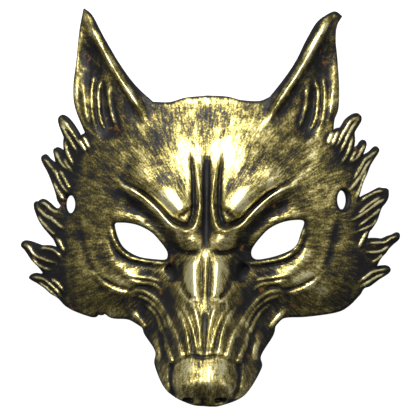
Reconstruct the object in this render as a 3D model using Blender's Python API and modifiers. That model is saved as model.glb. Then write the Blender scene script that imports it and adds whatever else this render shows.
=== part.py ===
"""Foam wolf mask: a half-face costume mask moulded in one piece of thin painted foam.

The mask lies on its back as it does on a table: +X runs to the right of the face, +Y up to the ears and
+Z out of the face. It is one shell with a wall of even thickness. A flat pattern is cut to the mask's
outline with its eye openings and strap slots, is given its thickness, and is then pressed into the form
of the face. All lengths are metres. Every table holds shares, in hundredths, of the named sizes that its
title gives.
"""

import bpy
import numpy as np
from mathutils import Vector
from mathutils.geometry import delaunay_2d_cdt

# Driving dimensions
HALF_WIDTH = 0.1181  # centre line to the widest mane lock
EAR_REACH = 0.1202  # centre of the face up to the ear tips
CHIN_REACH = 0.1172  # centre of the face down to the nose's lower edge
DEPTH = 0.118  # table to the tip of the nose
FOAM_THICKNESS = 0.003
RELIEF = 0.010  # height of the boldest fold
FOLD_SPREAD = 0.100  # folds' widths are shares of this
SLOT_WIDTH = 0.0078
SLOT_LENGTH = 0.0114
EDGE_STEP = 0.0034  # spacing of the points along every cut edge
FOLD_STEP = 0.0036  # spacing of the surface's points along a fold
OPEN_STEP = 0.0050  # spacing of the surface's points between the folds
SMOOTHED_STEP = 0.0012  # sampling step for the slope of the form
LINING_BLUR = 0.0035  # the inner face doesn't follow forms narrower than this
POINT_CLEARANCE = 0.0019  # least distance from a surface point to an edge or another fold's point
OPEN_CLEARANCE = 0.0033  # least distance from a point between the folds to a fold's point
FLANK = 1.35  # a fold's outer rows of points lie this many of its widths from its crest

LEFT, RIGHT = -1, 1
INSIDE_EDGES = 1  # the triangulation keeps only what the edges enclose
FOAM_COLOUR = (0.30, 0.25, 0.09, 1.0)

# Cut edge, one side each: x is a share of HALF_WIDTH, y of EAR_REACH above the centre and CHIN_REACH below it
FOREHEAD_EDGE = {
    LEFT: ((0, 56.2), (-11.4, 55.1), (-19.2, 53.0), (-28.0, 53.1)),
    RIGHT: ((0, 56.2), (9.9, 55.7), (17.1, 54.0), (26.4, 53.5), (31.6, 55.6)),
}
EAR_INNER_EDGE = {
    LEFT: ((-28.0, 53.1), (-37.3, 62.0), (-45.1, 72.0), (-52.8, 84.0), (-59.6, 96.0), (-64.0, 100.0)),
    RIGHT: ((31.6, 55.6), (40.3, 66.5), (45.5, 74.2), (50.6, 84.2), (55.8, 92.8), (61.0, 96.8), (66.0, 97.6)),
}
EAR_OUTER_EDGE = {
    LEFT: ((-64.0, 100.0), (-66.0, 90.0), (-67.7, 74.6), (-69.4, 61.0), (-68.4, 50.3), (-62.4, 36.0)),
    RIGHT: ((66.0, 97.6), (65.2, 84.6), (65.9, 74.6), (66.9, 62.0), (66.6, 50.3), (64.6, 44.3), (64.1, 38.7)),
}
# One row a mane lock, from the ear down; a bow is a share of the edge's own length, outward when positive
MANE_LOCKS = {
    LEFT: (
        # tip x, tip y, valley x, valley y, upper bow, lower bow, ridge root x, ridge root y, crease run
        (-65.4, 38.0, -66.8, 36.2, 0.00, 0.00, -63.0, 31.0, 9),
        (-78.2, 47.5, -75.9, 26.6, 0.02, 0.06, -68.0, 22.0, 9),
        (-81.6, 30.8, -80.5, 22.4, 0.00, 0.05, -74.0, 19.0, 9),
        (-88.9, 27.3, -77.7, 0.5, 0.04, 0.02, -72.0, 3.0, 2.5),
        (-92.6, 3.1, -79.5, -21.7, 0.10, 0.09, -72.0, -13.0, 9),
        (-100.0, -18.5, -88.1, -35.6, 0.04, -0.02, -78.0, -26.0, 9),
        (-96.1, -36.8, -80.0, -47.6, 0.06, 0.00, -80.0, -40.0, 9),
    ),
    RIGHT: (
        (66.0, 40.0, 68.1, 40.2, 0.00, 0.00, 62.0, 33.0, 9),
        (78.4, 47.8, 75.9, 30.4, 0.03, 0.08, 68.0, 24.0, 9),
        (81.4, 34.5, 80.0, 25.2, 0.00, 0.05, 74.0, 21.0, 9),
        (88.9, 30.6, 78.0, 4.3, 0.03, 0.03, 72.0, 6.0, 2.5),
        (93.8, 8.6, 82.5, -16.7, 0.05, 0.08, 73.0, -9.0, 9),
        (99.6, -14.6, 88.3, -30.7, 0.07, 0.00, 78.0, -22.0, 9),
        (94.6, -32.5, 77.9, -44.8, 0.06, 0.00, 79.0, -37.0, 9),
    ),
}
JAW_EDGE = {
    LEFT: ((-80.0, -47.6), (-72.5, -53.4), (-59.6, -57.0), (-49.2, -57.2), (-40.9, -57.6), (-33.4, -61.6)),
    RIGHT: ((77.9, -44.8), (71.7, -51.0), (65.0, -54.2), (50.0, -56.2), (39.4, -56.6), (34.6, -60.6)),
}
LIP_EDGE = {
    LEFT: (
        (-33.4, -61.6),
        (-32.0, -65.4),
        (-26.2, -73.4),
        (-26.3, -80.4),
        (-19.0, -92.8),
        (-7.2, -98.9),
        (3.0, -100.0),
    ),
    RIGHT: (
        (34.6, -60.6),
        (33.4, -65.6),
        (27.6, -75.4),
        (27.8, -82.0),
        (20.0, -94.7),
        (9.4, -99.4),
        (3.0, -100.0),
    ),
}
EYE_EDGE = {
    LEFT: (
        (-47.4, -9.0),
        (-44.2, -7.4),
        (-36.0, -8.5),
        (-28.7, -12.2),
        (-20.6, -19.5),
        (-19.7, -24.8),
        (-23.5, -27.0),
        (-36.0, -25.6),
        (-44.0, -20.0),
    ),
    RIGHT: (
        (49.8, -6.6),
        (41.5, -6.4),
        (34.0, -9.0),
        (28.4, -13.0),
        (22.4, -22.2),
        (25.4, -26.8),
        (35.4, -25.4),
        (45.0, -20.6),
        (48.0, -13.2),
    ),
}
SLOT_PLACES = ((-71.7, 1.9), (69.0, 4.1))  # centre x, centre y

# Heights of the face by section: y as in the edges, z shares of DEPTH
SECTION_STEP = 0.1  # share of HALF_WIDTH from one height of a section to the next
FACE_SECTIONS = (
    # y share, then the height at each section step from the centre line outward
    (100, (44, 44, 43, 42, 40, 38, 35, 30, 24, 22, 20)),
    (80, (45, 45, 44, 43, 42, 40, 36, 30, 23, 18, 15)),
    (62, (45, 45, 44, 43, 42, 40, 36, 29, 20, 14, 10)),
    (50, (49, 49, 48, 46, 44, 40, 36, 28, 18, 8, 3)),
    (40, (53, 53, 52, 50, 47, 43, 37, 28, 15, 4, -1)),
    (27, (58, 58, 57, 54, 50, 45.5, 38.5, 28, 14, 1.6, -3)),
    (13, (61, 61, 60, 56, 51.5, 46.5, 39.5, 30, 17, 5.5, 0)),
    (0, (62, 63, 61, 55, 50.5, 46.5, 40.5, 31.5, 19, 7.5, 2)),
    (-13, (64, 64, 58, 50, 47, 43.5, 39, 31, 19.5, 8, 3)),
    (-24, (69, 63, 51, 46, 44, 42, 38, 30, 19, 8, 2)),
    (-38, (76, 70, 54, 45, 43, 40.5, 35.5, 27, 16, 6, 1)),
    (-51, (83, 77, 59, 44, 37, 33, 27.5, 20, 12, 5, 1)),
    (-64, (89, 84, 66, 46, 34, 27, 21, 15, 10, 6, 3)),
    (-77, (94, 90, 72, 49, 34, 25, 18, 12, 8, 5, 3)),
    (-90, (98, 95, 80, 55, 38, 27, 19, 13, 9, 6, 4)),
    (-100, (92, 88, 70, 46, 32, 23, 17, 12, 9, 6, 4)),
)

# One row a fold, on both sides: its route outward from the centre line, its width as a share of FOLD_SPREAD
# and its height as a share of RELIEF, where a crease is negative
FOLDS = (
    ("brow rim", ((48, 16.4), (32.5, 6.3), (24.4, -1.3), (17.3, -8.8), (10.7, -11.4), (5.4, -8)), 2.6, 38),
    ("brow rim inner", ((5.4, -8), (3.4, 1.3), (4.3, 13.9), (7.2, 23)), 2.4, 36),
    ("brow groove", ((36, 9), (27.4, 4), (19.8, -3.6), (12.5, -7.3), (8, -4)), 2.6, -38),
    ("brow groove inner", ((8, -4), (7, 6), (7.6, 16), (8.4, 26)), 2.4, -30),
    ("brow pad", ((42, 19), (27, 10), (17, 1.5), (12.5, -3)), 8.5, 52),
    ("brow bulb", ((13, -15.5), (9.6, -17)), 4.6, 62),
    ("brow shade", ((46, 5), (34, -0.5), (24, -9), (17, -19), (14.6, -25)), 4.6, -62),
    ("upper lid", ((50, -6), (42, -5), (31, -8), (23.5, -15), (19.6, -21)), 2.2, 30),
    ("lower lid", ((51, -10), (48, -17), (43, -25), (33, -28.6), (22, -29.6)), 2.4, 32),
    ("lid crease", ((51, -19), (45.5, -28), (36, -31.6), (26, -32)), 2.2, -24),
    ("cheek fold", ((47, -32), (37, -35), (27, -36.5)), 3.4, 30),
    ("cheek crease", ((56, -36), (42, -40.5), (31, -41)), 2.6, -22),
    ("temple crease", ((68.6, -1), (64.5, -14), (61, -28), (53.8, -37.5), (46, -40)), 2.8, -26),
    ("eye corner pit", ((20.5, -30.5), (17, -38)), 4.0, -66),
    ("centre groove", ((0, 24), (0, 4), (0, -20)), 2.8, -42),
    ("bridge ridge", ((6.2, -24), (5.4, -36), (4.8, -47)), 3.0, 26),
    ("muzzle ridge 1", ((7, -47.5), (4, -54), (2.4, -62), (1.9, -74)), 2.2, 30),
    ("muzzle ridge 2", ((11.4, -51), (7.6, -57), (5.4, -64), (4.6, -76)), 2.2, 30),
    ("muzzle ridge 3", ((14.6, -52), (10.8, -59), (8.8, -67), (7.8, -78)), 2.2, 30),
    ("muzzle ridge 4", ((17.8, -58.4), (14.2, -66), (12, -78)), 2.2, 28),
    ("muzzle ridge 5", ((20.6, -69), (16.6, -80)), 2.2, 26),
    ("muzzle ridge 6", ((39, -41.5), (27, -47), (19.6, -56), (16.6, -62)), 2.6, 34),
    ("muzzle ridge 7", ((36.6, -46), (25.6, -53), (20.6, -62)), 2.4, 28),
    ("lip ridge", ((40, -53), (33, -61), (27.5, -70), (23.6, -76)), 2.8, 26),
    ("nose pad", ((0, -85), (8, -86.5), (12, -89)), 7.5, 34),
    ("nose wing crease", ((13.5, -79), (16, -86), (15, -94)), 2.2, -34),
    ("nostril", ((6, -97.5), (11, -96.5)), 2.8, -60),
    ("philtrum", ((0, -91), (0, -100)), 1.8, -30),
    ("ear rim", ((63.4, 97), (55.4, 83.5), (45.4, 67), (35, 50.5), (29, 40), (28.5, 27)), 4.2, 62),
    ("ear cup", ((62, 84), (58.5, 66), (54, 50), (50, 40)), 9.5, -66),
    ("ear outer rim", ((66, 88), (68, 68), (67.6, 52), (63, 40)), 2.4, 30),
    ("ear rib 1", ((59.5, 67), (60.3, 54), (58.4, 41)), 2.0, 26),
    ("ear rib 2", ((55.8, 64), (56.8, 54), (53.4, 40)), 2.0, 26),
    ("ear rib 3", ((52, 60.5), (50.6, 51), (47.6, 40)), 2.0, 26),
)
LOCK_RIDGE_WIDTH = 3.4  # share of FOLD_SPREAD
LOCK_RIDGE_HEIGHT = 30  # share of RELIEF
LOCK_CREASE_WIDTH = 2.4
LOCK_CREASE_HEIGHT = -32
FOLD_END = 0.22  # share of a fold's length over which it fades in and out
ROUTE_STEPS = 12  # points on a route between two rows
FOLD_REACH = 2.6  # a fold is felt within this many of its own widths
LEAST_FADE = 0.25  # share of a fold's height that is left at its ends
SLOT_POINTS = 14
ROW_SHARE = 0.87  # rows of points in even triangles lie this share of a step apart
SAME_POINT = 1e-7  # points nearer than this are one


def place(x_share, y_share):
    """A plan position from shares of the mask's half width and its reaches."""
    reach = EAR_REACH if y_share >= 0 else CHIN_REACH
    return np.array((x_share * HALF_WIDTH, y_share * reach)) / 100


def hermite(before, start, end, after, part):
    """A smooth curve from start to end that heads along its neighbours, at each part from 0 to 1."""
    leave = (end - before) / 2
    arrive = (after - start) / 2
    turn = start - end
    bend = -3 * turn - 2 * leave - arrive
    swing = 2 * turn + leave + arrive
    return start + part * (leave + part * (bend + part * swing))


def route(rows, steps=ROUTE_STEPS):
    """The plan points of a smooth curve through rows of shares."""
    points = np.array([place(x, y) for x, y in rows])
    padded = np.vstack((2 * points[0] - points[1], points, 2 * points[-1] - points[-2]))
    parts = np.linspace(0, 1, steps, endpoint=False)[:, None]
    spans = [hermite(*padded[i : i + 4], parts) for i in range(len(points) - 1)]
    return np.vstack((*spans, points[-1:]))


def bowed(start, end, bow, side):
    """The plan points of a lock's edge, an arc whose rise is bow times its length."""
    along = end - start
    out = np.array((-along[1], along[0])) * bow * -side
    parts = np.linspace(0, 1, ROUTE_STEPS, endpoint=False)[:, None]
    return start + along * parts + out * 4 * parts * (1 - parts)


def side_edge(side):
    """The cut edge of one side, from the top of the forehead round the ear and the mane to the nose."""
    stretches = [route(rows[side])[:-1] for rows in (FOREHEAD_EDGE, EAR_INNER_EDGE, EAR_OUTER_EDGE)]
    valley = place(*EAR_OUTER_EDGE[side][-1])
    for tip_x, tip_y, valley_x, valley_y, upper_bow, lower_bow, *_ in MANE_LOCKS[side]:
        tip = place(tip_x, tip_y)
        stretches.append(bowed(valley, tip, upper_bow, side))
        valley = place(valley_x, valley_y)
        stretches.append(bowed(tip, valley, lower_bow, side))
    stretches += [route(rows[side])[:-1] for rows in (JAW_EDGE, LIP_EDGE)]
    return stretches


def spaced(points, step):
    """The same open line with its points about one step apart, both ends kept."""
    lengths = np.linalg.norm(np.diff(points, axis=0), axis=1)
    along = np.concatenate(((0,), np.cumsum(lengths)))
    count = max(2, round(along[-1] / step) + 1)
    at = np.linspace(0, along[-1], count)
    return np.column_stack([np.interp(at, along, points[:, axis]) for axis in (0, 1)])


def outline():
    """The mask's whole cut edge, anticlockwise, with its corners kept sharp."""
    left, right = side_edge(LEFT), side_edge(RIGHT)
    halves = []
    for stretches in (left, right):
        starts = [stretch[0] for stretch in stretches[1:]] + [place(*LIP_EDGE[LEFT][-1])]
        lines = [np.vstack((stretch, start)) for stretch, start in zip(stretches, starts)]
        halves.append(np.vstack([spaced(line, EDGE_STEP)[:-1] for line in lines]))
    nose = place(*LIP_EDGE[LEFT][-1])
    return np.vstack((halves[0], nose, halves[1][:0:-1]))


def eye_edge(side):
    """The cut edge of one eye opening."""
    rows = EYE_EDGE[side]
    closed = route(rows + rows[:3])
    first, last = ROUTE_STEPS, ROUTE_STEPS * (len(rows) + 1)
    return spaced(closed[first : last + 1], EDGE_STEP)[:-1]


def slot_edge(centre):
    """The cut edge of one strap slot, an oval."""
    turns = np.linspace(0, 2 * np.pi, SLOT_POINTS, endpoint=False)
    oval = np.column_stack((SLOT_WIDTH * np.cos(turns), SLOT_LENGTH * np.sin(turns)))
    return place(*centre) + oval / 2


def face_height(points):
    """The face without its folds: cubic curves through each section, then from section to section."""
    across = np.abs(points[:, 0]) / HALF_WIDTH / SECTION_STEP
    column = np.minimum(across.astype(int), len(FACE_SECTIONS[0][1]) - 2)
    part = np.minimum(across - column, 1)
    heights = []
    for _, row in FACE_SECTIONS:
        padded = np.array((row[1], *row, 2 * row[-1] - row[-2]), float)
        heights.append(hermite(*(padded[column + k] for k in range(4)), part))
    heights = np.array(heights)[::-1]
    stations = np.array([place(0, y)[1] for y, _ in FACE_SECTIONS])[::-1]
    lengthwise = np.clip(points[:, 1], stations[0], stations[-1] - 1e-9)
    row = np.clip(np.searchsorted(stations, lengthwise, side="right") - 1, 0, len(stations) - 2)
    part = (lengthwise - stations[row]) / (stations[row + 1] - stations[row])
    last = len(stations) - 1
    index = np.arange(len(points))
    around = [heights[np.clip(row + k, 0, last), index] for k in (-1, 0, 1, 2)]
    return hermite(*around, part) * DEPTH / 100


def fold_height(points, rows, width_share, height_share, sides=(LEFT, RIGHT)):
    """How far one fold lifts each point: a rounded ridge along its route that fades at both ends."""
    lifted = np.zeros(len(points))
    width = width_share * FOLD_SPREAD / 100
    line = route(rows)
    share = np.linspace(0, 1, len(line))
    fade = np.clip(np.minimum(share, 1 - share) / FOLD_END, 0, 1)
    fade = LEAST_FADE + (1 - LEAST_FADE) * fade * fade * (3 - 2 * fade)
    for side in sides:
        path = line * (1 if side == RIGHT else -1, 1)
        low = path.min(axis=0) - FOLD_REACH * width
        high = path.max(axis=0) + FOLD_REACH * width
        near = ((points > low) & (points < high)).all(axis=1)
        if not near.any():
            continue
        away = np.linalg.norm(points[near][:, None] - path[None], axis=2)
        nearest = away.argmin(axis=1)
        shape = np.exp(-((away.min(axis=1) / width) ** 2)) * fade[nearest]
        lifted[near] = np.maximum(lifted[near], shape)
    return lifted * height_share * RELIEF / 100


def lock_folds(lock):
    """A mane lock's ridge and the crease in from its valley, each a route, a width and a height."""
    tip_x, tip_y, valley_x, valley_y, _, _, root_x, root_y, crease_run = lock
    tip_x, valley_x, root_x = abs(tip_x), abs(valley_x), abs(root_x)
    ridge = ((tip_x, tip_y), ((tip_x + root_x) / 2, (tip_y + root_y) / 2), (root_x, root_y))
    crease = ((valley_x, valley_y), (valley_x - crease_run, valley_y + 1))
    return (ridge, LOCK_RIDGE_WIDTH, LOCK_RIDGE_HEIGHT), (crease, LOCK_CREASE_WIDTH, LOCK_CREASE_HEIGHT)


def mane_height(points):
    """The lift of every mane lock's ridge, and the creases between the locks."""
    lifted = np.zeros(len(points))
    for side, locks in MANE_LOCKS.items():
        for lock in locks:
            for rows, width_share, height_share in lock_folds(lock):
                lifted += fold_height(points, rows, width_share, height_share, (side,))
    return lifted


def form_height(points):
    """The outer face's height above the table at each plan point."""
    height = face_height(points) + mane_height(points)
    for _, rows, width_share, height_share in FOLDS:
        height += fold_height(points, rows, width_share, height_share)
    return height


def blurred_height(points):
    """The form without its narrow folds, from the mean of points set round each one in two rings."""
    total = form_height(points)
    count = 1
    for radius, turns in ((LINING_BLUR / 2, 4), (LINING_BLUR, 8)):
        for angle in np.linspace(0, 2 * np.pi, turns, endpoint=False):
            total = total + form_height(points + radius * np.array((np.cos(angle), np.sin(angle))))
            count += 1
    return total / count


def lining_points(points, outer):
    """The inner face: set back by the foam's thickness, square to the blurred form."""
    right = blurred_height(points + (SMOOTHED_STEP, 0))
    left = blurred_height(points - (SMOOTHED_STEP, 0))
    up = blurred_height(points + (0, SMOOTHED_STEP))
    down = blurred_height(points - (0, SMOOTHED_STEP))
    middle = np.minimum((right + left + up + down) / 4, outer)
    slope = np.column_stack((left - right, down - up)) / (2 * SMOOTHED_STEP)
    normals = np.column_stack((slope, np.ones(len(points))))
    normals /= np.linalg.norm(normals, axis=1)[:, None]
    return np.column_stack((points, middle)) - normals * FOAM_THICKNESS


def inside(points, edge):
    """Whether each point lies inside a closed edge, by counting crossings."""
    start, end = edge, np.roll(edge, -1, axis=0)
    rises = (start[None, :, 1] > points[:, None, 1]) != (end[None, :, 1] > points[:, None, 1])
    step = np.where(end[:, 1] == start[:, 1], 1.0, end[:, 1] - start[:, 1])
    crossing = (end[:, 0] - start[:, 0]) * (points[:, None, 1] - start[:, 1]) / step + start[:, 0]
    return (rises & (points[:, None, 0] < crossing)).sum(axis=1) % 2 == 1


def fold_rows():
    """Each fold's route and width on both sides, the mane locks' ridges and creases included."""
    rows = [(route(rows), width_share) for _, rows, width_share, _ in FOLDS]
    found = [(line * (side, 1), width_share) for line, width_share in rows for side in (LEFT, RIGHT)]
    for side, locks in MANE_LOCKS.items():
        for lock in locks:
            for rows, width_share, _ in lock_folds(lock):
                found.append((route(rows) * (side, 1), width_share))
    return found


def flanked(line, width):
    """A fold's points: its crest, and a row on each flank."""
    line = spaced(line, FOLD_STEP)
    along = np.gradient(line, axis=0)
    across = np.column_stack((-along[:, 1], along[:, 0]))
    across /= np.linalg.norm(across, axis=1)[:, None]
    return np.vstack((line, line + across * FLANK * width, line - across * FLANK * width))


def surface_points(edges):
    """Points along every fold and staggered rows between them, clear of the edges and of each other."""
    low, high = edges[0].min(axis=0), edges[0].max(axis=0)
    rows = np.arange(low[1], high[1], OPEN_STEP * ROW_SHARE)
    columns = np.arange(low[0], high[0], OPEN_STEP)
    x, y = np.meshgrid(columns, rows)
    x = x + np.where(np.arange(len(rows)) % 2, OPEN_STEP / 2, 0.0)[:, None]
    folds = np.vstack([flanked(line, share * FOLD_SPREAD / 100) for line, share in fold_rows()])
    between = np.column_stack((x.ravel(), y.ravel()))
    taken = np.vstack(edges)
    for points, clearance in ((folds, POINT_CLEARANCE), (between, OPEN_CLEARANCE)):
        kept = inside(points, edges[0])
        for edge in edges[1:]:
            kept &= ~inside(points, edge)
        for point in points[kept]:
            if np.abs(taken - point).max(axis=1).min() > clearance:
                taken = np.vstack((taken, point))
    return taken[sum(len(edge) for edge in edges) :]


def flat_pattern():
    """The foam sheet's plan as a triangulated open surface, cut to its outline, eyes and slots."""
    edges = [outline(), eye_edge(LEFT), eye_edge(RIGHT), *map(slot_edge, SLOT_PLACES)]
    constraints = []
    first = 0
    for edge in edges:
        constraints += [(first + i, first + (i + 1) % len(edge)) for i in range(len(edge))]
        first += len(edge)
    points = np.vstack((*edges, surface_points(edges)))
    corners = [Vector(p) for p in points]
    vertices, _, faces, *_ = delaunay_2d_cdt(corners, constraints, [], INSIDE_EDGES, SAME_POINT)
    vertices = np.array([tuple(v) for v in vertices])
    centres = np.array([vertices[list(face)].mean(axis=0) for face in faces])
    opened = np.any([inside(centres, edge) for edge in edges[1:]], axis=0)
    faces = [tuple(face) for face, cut in zip(faces, opened) if not cut]
    mesh = bpy.data.meshes.new("mask_pattern")
    mesh.from_pydata([(x, y, 0.0) for x, y in vertices], [], faces)
    return mesh


def thickened(mesh, name):
    """The flat pattern with the foam's thickness below it, as one closed mesh."""
    pattern = bpy.data.objects.new(name, mesh)
    bpy.context.scene.collection.objects.link(pattern)
    solidify = pattern.modifiers.new("foam", "SOLIDIFY")
    solidify.thickness = FOAM_THICKNESS
    solidify.offset = -1
    solidify.use_even_offset = False
    evaluated = pattern.evaluated_get(bpy.context.evaluated_depsgraph_get())
    solid = bpy.data.meshes.new_from_object(evaluated)
    bpy.data.objects.remove(pattern)
    return solid


def press(mesh):
    """Press the flat foam into the form of the face, and rest it on the table round the origin."""
    flat = np.zeros(len(mesh.vertices) * 3, np.float32)
    mesh.vertices.foreach_get("co", flat)
    flat = flat.reshape(-1, 3).astype(float)
    outer = flat[:, 2] > -FOAM_THICKNESS / 2
    height = form_height(flat[:, :2])
    pressed = np.column_stack((flat[:, :2], height))
    pressed[~outer] = lining_points(flat[~outer, :2], height[~outer])
    low, high = pressed.min(axis=0), pressed.max(axis=0)
    pressed -= ((low[0] + high[0]) / 2, (low[1] + high[1]) / 2, low[2])
    mesh.vertices.foreach_set("co", pressed.astype(np.float32).ravel())
    mesh.update()


def foam_material():
    """Olive gold paint over black foam."""
    material = bpy.data.materials.new("painted_foam")
    material.use_nodes = True
    shader = material.node_tree.nodes["Principled BSDF"]
    shader.inputs["Base Color"].default_value = FOAM_COLOUR
    shader.inputs["Roughness"].default_value = 0.42
    shader.inputs["Metallic"].default_value = 0.6
    return material


def main():
    """Build the mask."""
    for old in list(bpy.data.objects):
        bpy.data.objects.remove(old)
    collection = bpy.data.collections.new("wolf_mask")
    bpy.context.scene.collection.children.link(collection)
    mesh = thickened(flat_pattern(), "mask_shell")
    press(mesh)
    mesh.materials.clear()
    mesh.materials.append(foam_material())
    mesh.shade_smooth()
    shell = bpy.data.objects.new("mask_shell", mesh)
    collection.objects.link(shell)


main()
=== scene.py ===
"""The looks of the foam wolf mask: a gold-brushed black foam shell on a pale studio floor.

The shell is a numpy surface. A grid in plan is lifted to the height of the face, which is a set of cross
sections with folds laid over it, is fitted to the cut edge, and gets a lining and a rim. Every table holds
shares, in hundredths, of the sizes in MaskSize. The mask lies on its back: +X right, +Y to the ears, +Z out.
"""

import logging
import math
from collections.abc import Iterable
from dataclasses import dataclass
from enum import Enum

import bpy
import numpy as np
from bpy.types import Material, Mesh, Node, NodeTree, Object
from bpy.types import NodeSocket as Socket
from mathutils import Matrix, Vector

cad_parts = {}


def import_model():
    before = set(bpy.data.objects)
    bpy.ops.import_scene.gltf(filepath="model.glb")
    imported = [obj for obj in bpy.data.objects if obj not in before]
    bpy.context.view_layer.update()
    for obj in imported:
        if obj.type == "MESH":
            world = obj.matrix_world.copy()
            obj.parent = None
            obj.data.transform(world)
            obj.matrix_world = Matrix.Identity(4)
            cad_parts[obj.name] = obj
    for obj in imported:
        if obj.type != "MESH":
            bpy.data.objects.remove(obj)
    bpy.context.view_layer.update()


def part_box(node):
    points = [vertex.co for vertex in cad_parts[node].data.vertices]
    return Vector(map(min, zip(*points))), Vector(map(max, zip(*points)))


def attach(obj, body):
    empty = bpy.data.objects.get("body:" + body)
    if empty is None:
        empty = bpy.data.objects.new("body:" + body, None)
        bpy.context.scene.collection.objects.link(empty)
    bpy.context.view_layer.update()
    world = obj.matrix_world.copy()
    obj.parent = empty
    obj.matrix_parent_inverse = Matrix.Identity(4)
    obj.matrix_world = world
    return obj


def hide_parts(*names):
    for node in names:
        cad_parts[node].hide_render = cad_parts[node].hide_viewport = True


Array = np.ndarray
Rows = tuple[tuple[float, float], ...]
Colour = tuple[float, float, float, float]
log = logging.getLogger("wolf_mask")

NODE = "mask_shell"
BODY = "root"
STRANDS = "Strands"
WHITE: Colour = (1.0, 1.0, 1.0, 1.0)
TINY = 1e-9


class Side(Enum):
    """Which side of the face, as the sign of x."""

    LEFT = -1
    RIGHT = 1


BOTH = (Side.LEFT, Side.RIGHT)


@dataclass(frozen=True)
class Slot:
    """A strap slot: its centre in shares, and its half sizes in metres."""

    centre: tuple[float, float]
    half_width: float
    half_length: float


@dataclass(frozen=True)
class MaskSize:
    """The mask's sizes in metres; the outline's are the solid's.

    Args:
        half_width, ear_reach, chin_reach: the outline from the mask's centre to the side, up and down.
        depth: what the sections' heights are shares of.
        foam: the foam's thickness.
        relief, spread: what the folds' heights and widths are shares of.
        rim_bulge: how far the middle of the cut edge stands out.
        rim_drop, mane_rim_drop: how far the outer face falls at the cut edge, and more in the mane.
        rim_reach: how far in from the cut edge it begins to fall.
        middle_step, outer_step: the grid's steps over the middle and beyond it.
        middle_share: how much of the half width counts as the middle.
    """

    half_width: float = 0.1181
    ear_reach: float = 0.1202
    chin_reach: float = 0.1172
    depth: float = 0.118
    foam: float = 0.003
    relief: float = 0.010
    spread: float = 0.100
    rim_bulge: float = 0.0006
    rim_drop: float = 0.0006
    mane_rim_drop: float = 0.0010
    rim_reach: float = 0.0012
    middle_step: float = 0.00074
    outer_step: float = 0.00092
    middle_share: float = 0.42
    slots: tuple[Slot, ...] = (Slot((-71.7, 1.9), 0.0041, 0.0059), Slot((69.0, 4.1), 0.0036, 0.0063))

    def place(self, x_share: float, y_share: float) -> tuple[float, float]:
        """Args: x_share, y_share: of the half width and of the reach up or down. Returns: the plan place."""
        reach = self.ear_reach if y_share >= 0 else self.chin_reach
        return x_share * self.half_width / 100, y_share * reach / 100


@dataclass(frozen=True)
class Fold:
    """A ridge or crease along a smooth route.

    Args:
        rows: the route's points, x outward from the centre line, in shares.
        width: its width on the right of the route's direction, a share of MaskSize.spread.
        height: its height, a share of MaskSize.relief; a crease is negative.
        lee: its width on the left of the route, or the same as width when 0.
        power: 2 for a round back, less for a sharper crest.
        end: the share of its width that is left at the route's last point.
        sides: the sides of the face that have it.
        fades: whether its height fades in at the route's start, and out at its end.
    """

    rows: Rows
    width: float
    height: float
    lee: float = 0.0
    power: float = 2.0
    end: float = 1.0
    sides: tuple[Side, ...] = BOTH
    fades: tuple[bool, bool] = (True, True)


@dataclass(frozen=True)
class Sheet:
    """The drawing of the mane: its unit in metres, and where the mask's centre lies on it, y down."""

    unit: float = 0.0006
    centre: tuple[float, float] = (207.0, 207.5)

    def shares(self, rows: Rows, side: Side, size: MaskSize) -> Rows:
        """Args: rows: drawn points. side: their side. size: the sizes. Returns: them in shares, x outward."""
        found = []
        for x, y in rows:
            out = (x - self.centre[0]) * self.unit * side.value / size.half_width * 100
            up = (self.centre[1] - y) * self.unit
            found.append((out, up / (size.ear_reach if up >= 0 else size.chin_reach) * 100))
        return tuple(found)


@dataclass(frozen=True)
class Lock:
    """A mane lock on the drawing: its edge from valley to valley round its tip, and its raised strands."""

    edge: Rows
    strands: tuple[Rows, ...]


@dataclass(frozen=True)
class Patch:
    """A soft oval of gold, used for the paint and for painted light and shade: its centre and radii in
    shares, how much gold it adds, and its sides.
    """

    centre: tuple[float, float]
    radii: tuple[float, float]
    gold: float
    sides: tuple[Side, ...] = BOTH


SHEET = Sheet()


FOREHEAD_EDGE: dict[Side, Rows] = {
    Side.LEFT: ((0, 56.2), (-11.4, 55.1), (-19.2, 53.0), (-28.0, 53.1)),
    Side.RIGHT: ((0, 56.2), (9.9, 55.7), (17.1, 54.0), (26.4, 53.5), (31.6, 55.6)),
}
EAR_INNER_EDGE: dict[Side, Rows] = {
    Side.LEFT: (
        (-28.0, 53.1), (-37.3, 62.0), (-45.1, 72.0), (-52.8, 84.0), (-59.6, 96.0), (-64.0, 100.0),
    ),
    Side.RIGHT: (
        (31.6, 55.6), (40.3, 66.5), (45.5, 74.2), (50.6, 84.2), (55.8, 92.8), (61.0, 96.6), (65.4, 98.4),
        (68.6, 96.4),
    ),
}
EAR_OUTER_EDGE: dict[Side, Rows] = {
    Side.LEFT: (
        (-64.0, 100.0), (-66.0, 90.0), (-67.7, 74.6), (-69.4, 61.0), (-68.4, 50.3), (-62.2, 35.7),
    ),
    Side.RIGHT: (
        (68.6, 96.4), (66.0, 91.8), (65.2, 84.6), (65.9, 74.6), (66.9, 62.0), (66.6, 50.3), (64.6, 44.3),
        (64.1, 38.7),
    ),
}

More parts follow.
